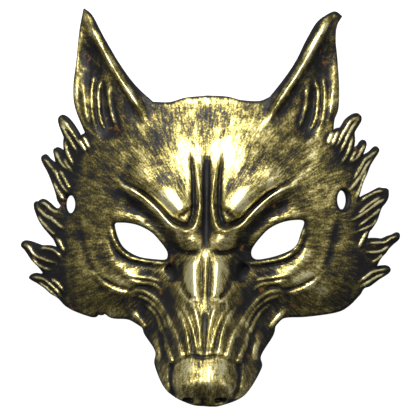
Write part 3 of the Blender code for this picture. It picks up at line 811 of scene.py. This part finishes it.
@dataclass(frozen=True)
class ShellMesh:
    """The outer face, the lining under it and the rim between them.

    Args:
        outer: the outer face's points.
        lining: the lining's points, one under each of those.
        faces: the outer face's faces.
        bulge: how far the middle of the rim stands out.
    """

    outer: Array
    lining: Array
    faces: Faces
    bulge: float

    def outward(self) -> Array:
        """The way out of the foam in plan, at each point of the rim."""
        start, end = self.faces.rim.T
        along = self.outer[end] - self.outer[start]
        out = np.column_stack((along[:, 1], -along[:, 0], np.zeros(len(along))))
        total = np.zeros_like(self.outer)
        np.add.at(total, start, out)
        np.add.at(total, end, out)
        return total / np.maximum(np.linalg.norm(total, axis=1), TINY)[:, None]

    def build(self, name: str, values: dict[str, Array], strands: Array) -> Mesh:
        """Join them into one closed mesh.

        Args: name: the mesh's name. values: the paint's values by name. strands: the UV places.
        Returns: the mesh, with material 0 on the outer face and the rim, and 1 on the lining.
        """
        quads = self.faces.quads
        triangles = self.faces.triangles
        start, end = self.faces.rim.T
        count = len(self.outer)
        rim = np.unique(self.faces.rim)
        ring = np.full(count, -1)
        ring[rim] = 2 * count + np.arange(len(rim))
        middle = (self.outer[rim] + self.lining[rim]) / 2 + self.outward()[rim] * self.bulge
        upper_wall = np.column_stack((end, start, ring[start], ring[end]))
        lower_wall = np.column_stack((ring[end], ring[start], start + count, end + count))
        fours = np.vstack((quads, upper_wall, lower_wall, quads[:, ::-1] + count))
        threes = np.vstack((triangles, triangles[:, ::-1] + count))
        material = np.zeros(len(fours) + len(threes), np.int32)
        material[len(fours) - len(quads) : len(fours)] = 1
        material[len(material) - len(triangles) :] = 1
        mesh = self.mesh(name, np.vstack((self.outer, self.lining, middle)), fours, threes)
        mesh.polygons.foreach_set("material_index", material)
        for key, value in values.items():
            layer = mesh.attributes.new(key, "FLOAT", "POINT")
            layer.data.foreach_set("value", np.concatenate((value, value, value[rim])).astype(np.float32))
        corners = np.zeros(len(mesh.loops), np.int32)
        mesh.loops.foreach_get("vertex_index", corners)
        places = np.vstack((strands, strands, strands[rim]))[corners]
        mesh.uv_layers.new(name=STRANDS).data.foreach_set("uv", places.astype(np.float32).ravel())
        mesh.shade_smooth()
        return mesh

    @staticmethod
    def mesh(name: str, vertices: Array, fours: Array, threes: Array) -> Mesh:
        """Args: name: its name. vertices: points. fours, threes: faces. Returns: the mesh they make."""
        corners = np.concatenate((fours.ravel(), threes.ravel()))
        three_starts = fours.size + np.arange(len(threes)) * 3
        starts = np.concatenate((np.arange(len(fours)) * 4, three_starts))
        mesh = bpy.data.meshes.new(name)
        mesh.vertices.add(len(vertices))
        mesh.vertices.foreach_set("co", vertices.astype(np.float32).ravel())
        mesh.loops.add(len(corners))
        mesh.loops.foreach_set("vertex_index", corners.astype(np.int32))
        mesh.polygons.add(len(starts))
        mesh.polygons.foreach_set("loop_start", starts.astype(np.int32))
        mesh.update(calc_edges=True)
        mesh.validate()
        return mesh


class PaintMap:
    """What the paint follows, at each point of the grid.

    A crest counts fully when it stands crest_height over its close surroundings, and a hollow when it lies
    hollow_depth under its wider ones. Strands are gilded; the mane and the cut edge are darker by the shares.
    """

    crest_cells = 2
    crest_height = 0.00022
    hollow_cells = 7
    hollow_depth = 0.0016
    least_hollow = -0.35
    strand_gold = 3.0
    mane_dark = 0.38
    rim_dark = 0.12
    mane_rim_dark = 0.10
    rim_reach = 0.0009
    brush_centre = (0.0, -14.0)
    brush_turn = 0.06

    def __init__(self, form: FaceForm, points: Array) -> None:
        """Args: form: the face. points: the grid's plan points."""
        self.form = form
        self.size = form.size
        self.points = points

    def patches(self) -> Array:
        """The gold of the patches and strokes; one on the centre line counts once."""
        gold = np.zeros(len(self.points))
        for patch in PAINT_AND_LIGHT_PATCHES:
            radii = np.array(patch.radii) * self.size.half_width / 100
            for side in patch.sides if patch.centre[0] else patch.sides[:1]:
                centre = np.array(self.size.place(*patch.centre)) * (side.value, 1)
                gold += patch.gold * np.exp(-(((self.points - centre) / radii) ** 2).sum(axis=1))
        return gold + self.folded(STROKES)

    def folded(self, folds: Iterable[Fold]) -> Array:
        """Args: folds: folds to add up. Returns: their sum as a share of the relief."""
        return sum(self.form.fold(self.points, fold) for fold in folds) / self.size.relief

    def values(self, grid: Grid, height: Array, rim: Array, mane: Array) -> dict[str, Array]:
        """The values that the material reads.

        Args: grid: the grid. height, rim, mane: each point's height, way to the edge and share of the mane.
        Returns: crest and hollow, how far a point stands over and lies under what is round it, and gold.
        """
        crest = (height - grid.blurred(height, self.crest_cells)) / self.crest_height
        hollow = (grid.blurred(height, self.hollow_cells) - height) / self.hollow_depth
        edge = (self.rim_dark + self.mane_rim_dark * mane) * np.exp(-((rim / self.rim_reach) ** 2))
        strands = self.strand_gold * self.folded(self.form.strands)
        gold = self.patches() + strands - self.mane_dark * mane - edge
        return {"crest": np.clip(crest, -1, 1), "hollow": np.clip(hollow, self.least_hollow, 1), "gold": gold}

    def strand_places(self) -> Array:
        """The angle round the brow's middle and the way out from it, along which the brush went, as UV."""
        x, y = (self.points - self.size.place(*self.brush_centre)).T
        return np.column_stack((np.arctan2(x, y) * self.brush_turn, np.hypot(x, y)))


class MaskShell:
    """The mask's shell: a fine outer face with a lining and a rounded rim.

    snap_outside and snap_inside are how far, in grid steps, a point beside the cut edge moves to lie on it.
    """

    margin = 0.002
    density_samples = 4000
    blend = 0.004
    fine_top = 0.02
    snap_inside = 0.30
    snap_outside = 0.52
    mane_from = 0.078
    mane_top = 0.055
    lining_cells = 4
    near_cells = 2
    near_share = 0.001
    far = 1.0

    def __init__(self, size: MaskSize) -> None:
        """Args: size: the mask's sizes."""
        self.size = size
        curves = Curves(size)
        self.edges = CutEdges(size, curves)
        self.form = FaceForm(size, curves)

    def turn_on(self, values: Array, at: float) -> Array:
        """Args: values: numbers. at: where to turn on. Returns: 1 / (1 + exp(-(values - at) / blend))."""
        return 1 / (1 + np.exp(-(values - at) / self.blend))

    def lines(self, low: float, high: float, fine_low: float, fine_high: float) -> Array:
        """Grid lines that lie closer between two places.

        Args: low, high: the ends. fine_low, fine_high: where the closer lines begin and end.
        Returns: the lines' places, spaced by the inverse of a smooth density.
        """
        at = np.linspace(low, high, self.density_samples)
        fine = self.turn_on(at, fine_low) - self.turn_on(at, fine_high)
        step = self.size.outer_step + (self.size.middle_step - self.size.outer_step) * fine
        count = np.concatenate(((0,), np.cumsum(np.diff(at) / step[1:])))
        return np.interp(np.linspace(0, count[-1], int(count[-1]) + 1), count, at)

    def plan(self) -> Grid:
        """The grid over the whole mask, finer over its middle."""
        size = self.size
        side = size.half_width + self.margin
        middle = size.middle_share * size.half_width
        bottom = -size.chin_reach - self.margin
        top = size.ear_reach + self.margin
        columns = self.lines(-side, side, -middle, middle)
        return Grid(columns, self.lines(bottom, top, -size.chin_reach, self.fine_top))

    def fitted(self, grid: Grid) -> tuple[Array, Faces]:
        """Fit the grid to the cut edges: points beside an edge move onto it, and the rest off the foam go.

        Args: grid: the grid.
        Returns: its points, moved, and the faces that are kept.
        """
        points = grid.points()
        rows, columns = grid.shape
        on_foam = self.edges.on_foam(points)
        padded = np.pad(on_foam.reshape(grid.shape).astype(int), 1, mode="edge")
        steps = [(down, across) for down in range(3) for across in range(3)]
        around = sum(padded[down : down + rows, across : across + columns] for down, across in steps)
        border = np.flatnonzero(((around > 0) & (around < len(steps))).ravel())
        target = self.edges.nearest(points[border])
        away = np.linalg.norm(target - points[border], axis=1)
        snap = np.where(on_foam[border], self.snap_inside, self.snap_outside)
        moved = away < self.size.outer_step * snap
        points[border[moved]] = target[moved]
        kept = on_foam.copy()
        kept[border[moved]] = True
        index = np.arange(len(points)).reshape(grid.shape)
        corners = np.stack((index[:-1, :-1], index[:-1, 1:], index[1:, 1:], index[1:, :-1]), axis=-1)
        corners = corners.reshape(-1, 4)
        count = kept[corners].sum(axis=1)
        cut = corners[count == 3]
        missing = (~kept[cut]).argmax(axis=1)
        order = (missing[:, None] + np.array((1, 2, 3))) % 4
        faces = Faces.around(corners[count == 4], np.take_along_axis(cut, order, axis=1))
        loose = np.setdiff1d(faces.rim.ravel(), border[moved])
        points[loose] = self.edges.nearest(points[loose])
        return points, faces

    def rim_distance(self, grid: Grid, points: Array) -> Array:
        """Args: grid: the grid. points: its moved points. Returns: the way to the edge, where it is near."""
        share = grid.blurred(self.edges.on_foam(points).astype(float), self.near_cells)
        near = np.flatnonzero((share > self.near_share) & (share < 1 - self.near_share))
        distance = np.full(len(points), self.far)
        distance[near] = np.linalg.norm(self.edges.nearest(points[near]) - points[near], axis=1)
        return distance

    def build(self, name: str) -> Object:
        """Build the shell's object.

        Args: name: the object's name.
        Returns: the closed shell, with its paint values as attributes and its strands as UV.
        """
        size = self.size
        grid = self.plan()
        points, faces = self.fitted(grid)
        rim = self.rim_distance(grid, points)
        mane = self.turn_on(np.abs(points[:, 0]), self.mane_from)
        mane *= self.turn_on(-points[:, 1], -self.mane_top)
        drop = (size.rim_drop + size.mane_rim_drop * mane) * np.exp(-((rim / size.rim_reach) ** 2))
        height = self.form.height(points) - drop
        soft = grid.blurred(height, self.lining_cells)
        outer = np.column_stack((points, height))
        lining = np.column_stack((points, np.minimum(soft, height))) - grid.normals(soft) * size.foam
        paint = PaintMap(self.form, points)
        values = paint.values(grid, height, rim, mane)
        faces, used = faces.renumbered()
        body = ShellMesh(outer[used], lining[used], faces, size.rim_bulge)
        values = {key: value[used] for key, value in values.items()}
        shell = bpy.data.objects.new(name, body.build(name, values, paint.strand_places()[used]))
        bpy.context.scene.collection.objects.link(shell)
        return shell


@dataclass(frozen=True)
class Noise:
    """A noise's scale, detail and roughness, and its weight in a sum."""

    scale: float
    detail: float
    roughness: float = 0.5
    weight: float = 0.0


class NodeBench:
    """Places nodes in a tree with few words."""

    def __init__(self, tree: NodeTree) -> None:
        """Args: tree: the node tree to fill."""
        self.tree = tree

    def add(self, kind: str, **settings: object) -> Node:
        """Args: kind: the node's type. settings: its properties. Returns: the node."""
        node = self.tree.nodes.new(kind)
        for key, value in settings.items():
            setattr(node, key, value)
        return node

    def put(self, socket: Socket, value: object) -> None:
        """Args: socket: an input. value: a constant to set on it, or an output to link to it."""
        if isinstance(value, Socket):
            self.tree.links.new(value, socket)
        else:
            socket.default_value = value

    def feed(self, node: Node, **inputs: object) -> Node:
        """Args: node: the node. inputs: values by the input's name, with _ for a space. Returns: the node."""
        for key, value in inputs.items():
            self.put(node.inputs[key.replace("_", " ")], value)
        return node

    def math(self, operation: str, *values: object, clamp: bool = False) -> Socket:
        """Args: operation, values, clamp: as on the Math node. Returns: its value."""
        node = self.add("ShaderNodeMath", operation=operation, use_clamp=clamp)
        for socket, value in zip(node.inputs, values):
            self.put(socket, value)
        return node.outputs[0]

    def line(self, value: object, slope: float, base: object) -> Socket:
        """Args: value: a socket. slope, base: numbers or sockets. Returns: value times slope plus base."""
        return self.math("ADD", self.math("MULTIPLY", value, slope), base)

    def smooth(self, value: object, low: float, high: float) -> Socket:
        """Args: value: a socket. low, high: where it turns on. Returns: 0 to 1, smoothly."""
        node = self.add("ShaderNodeMapRange", interpolation_type="SMOOTHSTEP")
        return self.feed(node, Value=value, From_Min=low, From_Max=high).outputs["Result"]

    def noise(self, place: object, noise: Noise) -> Socket:
        """Args: place: where. noise: its sizes. Returns: its value."""
        node = self.add("ShaderNodeTexNoise")
        self.feed(node, Vector=place, Scale=noise.scale, Detail=noise.detail, Roughness=noise.roughness)
        return node.outputs["Fac"]

    def mixed(self, share: object, first: object, second: object) -> Socket:
        """Args: share: of the second. first, second: colours. Returns: the mixed colour."""
        node = self.add("ShaderNodeMix", data_type="RGBA")
        return self.feed(node, Factor=share, A=first, B=second).outputs["Result"]


def new_material(name: str) -> tuple[Material, NodeBench, Node]:
    """Args: name: its name. Returns: a material, a bench for its tree and its shader."""
    material = bpy.data.materials.new(name)
    material.use_nodes = True
    tree = material.node_tree
    return material, NodeBench(tree), tree.nodes["Principled BSDF"]


@dataclass(frozen=True)
class DryBrush:
    """The dry brush, a shared node group that says how much gold the brush left.

    Args:
        along: the streaks' scale along the brush's path against that across it.
        crest, hollow: how much a crest adds, and a hollow.
        base: what is left on a plain place.
        streak, broad: the noise along the brush's path, fine and broad.
        cloud, grain: the noise of the whole mask, broad and fine.
        spots: the noise of the stains, which begin at stain_from and are full at stain_full.
        sunk_from, sunk_full: how deep a hollow has to lie to be stained.
    """

    along: float = 0.22
    crest: float = 0.19
    hollow: float = -0.22
    base: float = 0.49
    streak: Noise = Noise(900.0, 4.0, 0.62, 1.25)
    broad: Noise = Noise(260.0, 3.0, 0.55, 1.0)
    cloud: Noise = Noise(55.0, 4.0, 0.6, 1.3)
    grain: Noise = Noise(900.0, 3.0, 0.7, 1.15)
    spots: Noise = Noise(140.0, 3.0, 0.6)
    stain_from: float = 0.60
    stain_full: float = 0.74
    sunk_from: float = -0.1
    sunk_full: float = 0.5

    def build(self) -> NodeTree:
        """Returns: the group, which takes places and the paint values, and gives the gold and its grain."""
        group = bpy.data.node_groups.new("dry_brush", "ShaderNodeTree")
        sockets = (
            ("INPUT", "NodeSocketVector", ("Place", "Strands")),
            ("INPUT", "NodeSocketFloat", ("Crest", "Hollow", "Gold")),
            ("OUTPUT", "NodeSocketFloat", ("Amount", "Streak", "Grain", "Stain")),
        )
        for way, kind, names in sockets:
            for name in names:
                group.interface.new_socket(name, in_out=way, socket_type=kind)
        bench = NodeBench(group)
        given = bench.add("NodeGroupInput").outputs
        stretch = bench.add("ShaderNodeMapping")
        path = bench.feed(stretch, Vector=given["Strands"], Scale=(1.0, self.along, 1.0)).outputs[0]
        streak = bench.noise(path, self.streak)
        grain = bench.noise(given["Place"], self.grain)
        rough = (
            (streak, self.streak),
            (bench.noise(path, self.broad), self.broad),
            (bench.noise(given["Place"], self.cloud), self.cloud),
            (grain, self.grain),
        )
        total = bench.line(given["Crest"], self.crest, given["Gold"])
        total = bench.line(given["Hollow"], self.hollow, total)
        for value, noise in rough:
            total = bench.line(bench.math("SUBTRACT", value, 0.5), noise.weight, total)
        amount = bench.math("ADD", total, self.base, clamp=True)
        spots = bench.smooth(bench.noise(given["Place"], self.spots), self.stain_from, self.stain_full)
        stain = bench.math("MULTIPLY", spots, bench.smooth(given["Hollow"], self.sunk_from, self.sunk_full))
        bench.feed(bench.add("NodeGroupOutput"), Amount=amount, Streak=streak, Grain=grain, Stain=stain)
        return group


@dataclass(frozen=True)
class GoldOverBlack:
    """Gold paint dry-brushed over black foam.

    Args:
        stops: the paint's colour by how much gold the brush left.
        stain, stain_share: the stains' colour, and how much of it shows.
        metal_from, metal_full, metal: where the paint turns metallic, and how far.
        roughness, gold_polish, streak_roughness: the plain roughness, and what gold and streaks add to it.
        shine, gold_shine: the plain specular level, and what gold adds to it.
        streak_relief, grain_relief, bump_strength, bump_height: the paint's relief.
    """

    name: str = "gold_over_black"
    stops: tuple[tuple[float, tuple[float, float, float]], ...] = (
        (0.16, (0.006, 0.006, 0.007)),
        (0.36, (0.038, 0.031, 0.011)),
        (0.54, (0.160, 0.132, 0.042)),
        (0.78, (0.45, 0.38, 0.135)),
        (1.00, (0.84, 0.78, 0.46)),
    )
    stain: Colour = (0.36, 0.15, 0.022, 1.0)
    stain_share: float = 0.4
    metal_from: float = 0.15
    metal_full: float = 0.6
    metal: float = 0.95
    roughness: float = 0.45
    gold_polish: float = -0.14
    streak_roughness: float = 0.24
    shine: float = 0.15
    gold_shine: float = 0.4
    streak_relief: float = 0.6
    grain_relief: float = 0.5
    bump_strength: float = 0.35
    bump_height: float = 0.0004

    def ramp(self, bench: NodeBench, amount: Socket) -> Socket:
        """Args: bench: the material's bench. amount: the gold left. Returns: the paint's colour."""
        node = bench.add("ShaderNodeValToRGB")
        elements = node.color_ramp.elements
        for element, (position, colour) in zip(elements, (self.stops[0], self.stops[-1])):
            element.position = position
            element.color = (*colour, 1)
        for position, colour in self.stops[1:-1]:
            elements.new(position).color = (*colour, 1)
        return bench.feed(node, Fac=amount).outputs["Color"]

    def build(self) -> Material:
        """Returns: the material, which reads the shell's paint attributes and strand UV."""
        material, bench, shader = new_material(self.name)
        group = bench.add("ShaderNodeGroup", node_tree=DryBrush().build())
        for name in ("crest", "hollow", "gold"):
            value = bench.add("ShaderNodeAttribute", attribute_name=name).outputs["Fac"]
            bench.put(group.inputs[name.capitalize()], value)
        place = bench.add("ShaderNodeTexCoord").outputs["Object"]
        path = bench.add("ShaderNodeUVMap", uv_map=STRANDS).outputs["UV"]
        brush = bench.feed(group, Place=place, Strands=path).outputs
        stained = bench.math("MULTIPLY", brush["Stain"], self.stain_share)
        metal = bench.smooth(brush["Amount"], self.metal_from, self.metal_full)
        rough = bench.line(brush["Amount"], self.gold_polish, self.roughness)
        grain = bench.math("MULTIPLY", brush["Grain"], self.grain_relief)
        relief = bench.line(brush["Streak"], self.streak_relief, grain)
        bump = bench.add("ShaderNodeBump")
        bench.feed(bump, Height=relief, Strength=self.bump_strength, Distance=self.bump_height)
        bench.feed(
            shader,
            Base_Color=bench.mixed(stained, self.ramp(bench, brush["Amount"]), self.stain),
            Metallic=bench.math("MULTIPLY", metal, self.metal),
            Roughness=bench.line(brush["Streak"], self.streak_roughness, rough),
            Specular_IOR_Level=bench.line(brush["Amount"], self.gold_shine, self.shine),
            Normal=bump.outputs["Normal"],
        )
        return material


@dataclass(frozen=True)
class RawFoam:
    """The dark unpainted foam of the lining, with fine open cells."""

    name: str = "raw_foam"
    colour: Colour = (0.022, 0.022, 0.024, 1.0)
    dust: Colour = (0.05, 0.048, 0.045, 1.0)
    cloud: Noise = Noise(60.0, 4.0)
    cell_scale: float = 1400.0
    cell_strength: float = 0.5
    cell_depth: float = 0.0004
    roughness: float = 0.85

    def build(self) -> Material:
        """Returns: the material."""
        material, bench, shader = new_material(self.name)
        place = bench.add("ShaderNodeTexCoord").outputs["Object"]
        cells = bench.feed(bench.add("ShaderNodeTexVoronoi"), Vector=place, Scale=self.cell_scale)
        bump = bench.add("ShaderNodeBump")
        depth = cells.outputs["Distance"]
        bench.feed(bump, Height=depth, Strength=self.cell_strength, Distance=self.cell_depth)
        bench.feed(
            shader,
            Base_Color=bench.mixed(bench.noise(place, self.cloud), self.colour, self.dust),
            Roughness=self.roughness,
            Normal=bump.outputs["Normal"],
        )
        return material


@dataclass(frozen=True)
class Lamp:
    """A round soft light aimed at the mask: its name, place, width in metres and watts."""

    name: str
    place: tuple[float, float, float]
    width: float
    power: float

    def build(self) -> None:
        """Put the light into the scene."""
        data = bpy.data.lights.new(self.name, "AREA")
        data.shape = "DISK"
        data.size = self.width
        data.energy = self.power
        lamp = bpy.data.objects.new(self.name, data)
        lamp.location = self.place
        lamp.rotation_euler = (-Vector(self.place)).to_track_quat("-Z", "Y").to_euler()
        bpy.context.scene.collection.objects.link(lamp)


@dataclass(frozen=True)
class Studio:
    """The pale floor and sky, the soft lights and the camera over the mask.

    Args:
        distance: from the camera to the height it is sharp at, target_height.
        frame_width: what the picture spans there.
        yaw: the turn of the camera round the mask's length.
        aim: the place in plan in the middle of the picture.
        sky_strength: the sky's light; to the camera itself it is white.
        floor_size, floor_tone, floor_roughness: the floor, which is white to the camera too.
    """

    distance: float = 3.0
    target_height: float = 0.060
    frame_width: float = 0.2496
    yaw: float = math.radians(2.0)
    aim: tuple[float, float] = (0.0008, -0.0015)
    sensor: float = 36.0
    view_end: float = 20.0
    sky_strength: float = 0.08
    floor_size: float = 6.0
    floor_tone: Colour = (0.16, 0.16, 0.16, 1.0)
    floor_roughness: float = 0.8
    lamps: tuple[Lamp, ...] = (
        Lamp("overhead", (-0.28, 0.42, 1.9), 0.7, 36.0),
        Lamp("brow_light", (-0.15, 1.45, 1.15), 0.8, 44.0),
        Lamp("left_fill", (-1.6, 0.1, 0.7), 0.6, 2.0),
        Lamp("right_fill", (1.6, 0.2, 0.7), 0.6, 5.0),
    )

    def floor(self) -> None:
        """Lay the floor."""
        bpy.ops.mesh.primitive_plane_add(size=self.floor_size)
        floor = bpy.context.object
        floor.name = "floor"
        material, bench, shader = new_material("pale_floor")
        bench.feed(
            shader,
            Base_Color=self.floor_tone,
            Roughness=self.floor_roughness,
            Emission_Color=WHITE,
            Emission_Strength=bench.add("ShaderNodeLightPath").outputs["Is Camera Ray"],
        )
        floor.data.materials.append(material)

    def sky(self) -> None:
        """Make the sky white to the camera and dim to all else."""
        scene = bpy.context.scene
        scene.world = scene.world or bpy.data.worlds.new("world")
        scene.world.use_nodes = True
        tree = scene.world.node_tree
        bench = NodeBench(tree)
        seen = bench.add("ShaderNodeLightPath").outputs["Is Camera Ray"]
        strength = bench.math("MAXIMUM", seen, self.sky_strength)
        bench.feed(tree.nodes["Background"], Color=WHITE, Strength=strength)
        scene.view_settings.view_transform = "Standard"

    def camera(self) -> None:
        """Place the camera straight over the mask, turned by the photograph's slight yaw."""
        data = bpy.data.cameras.new("camera")
        data.sensor_width = self.sensor
        data.lens = self.sensor * self.distance / self.frame_width
        data.clip_end = self.view_end
        camera = bpy.data.objects.new("camera", data)
        side = math.sin(self.yaw) * self.distance
        up = math.cos(self.yaw) * self.distance
        camera.location = (self.aim[0] + side, self.aim[1], self.target_height + up)
        camera.rotation_euler = (0.0, self.yaw, 0.0)
        bpy.context.scene.collection.objects.link(camera)
        bpy.context.scene.camera = camera

    def build(self) -> None:
        """Set up the whole studio."""
        self.floor()
        for lamp in self.lamps:
            lamp.build()
        self.sky()
        self.camera()


def align(shell: Object, size: MaskSize) -> None:
    """Move the shell's mesh to where the solid lies.

    Args: shell: the shell. size: the mask's sizes.
    """
    low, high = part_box(NODE)
    points = np.zeros(len(shell.data.vertices) * 3, np.float32)
    shell.data.vertices.foreach_get("co", points)
    points = points.reshape(-1, 3)
    points += (low[0] + size.half_width, high[1] - size.ear_reach, low[2] - points[:, 2].min())
    shell.data.vertices.foreach_set("co", points.ravel())
    shell.data.update()


def main() -> None:
    """Build the mask and the studio round it."""
    logging.basicConfig(level=logging.INFO, format="%(message)s")
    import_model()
    size = MaskSize()
    shell = MaskShell(size).build("mask_skin")
    align(shell, size)
    shell.data.materials.append(GoldOverBlack().build())
    shell.data.materials.append(RawFoam().build())
    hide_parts(NODE)
    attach(shell, BODY)
    log.info("mask_skin: %d faces", len(shell.data.polygons))
    Studio().build()


if __name__ == "__main__":
    main()
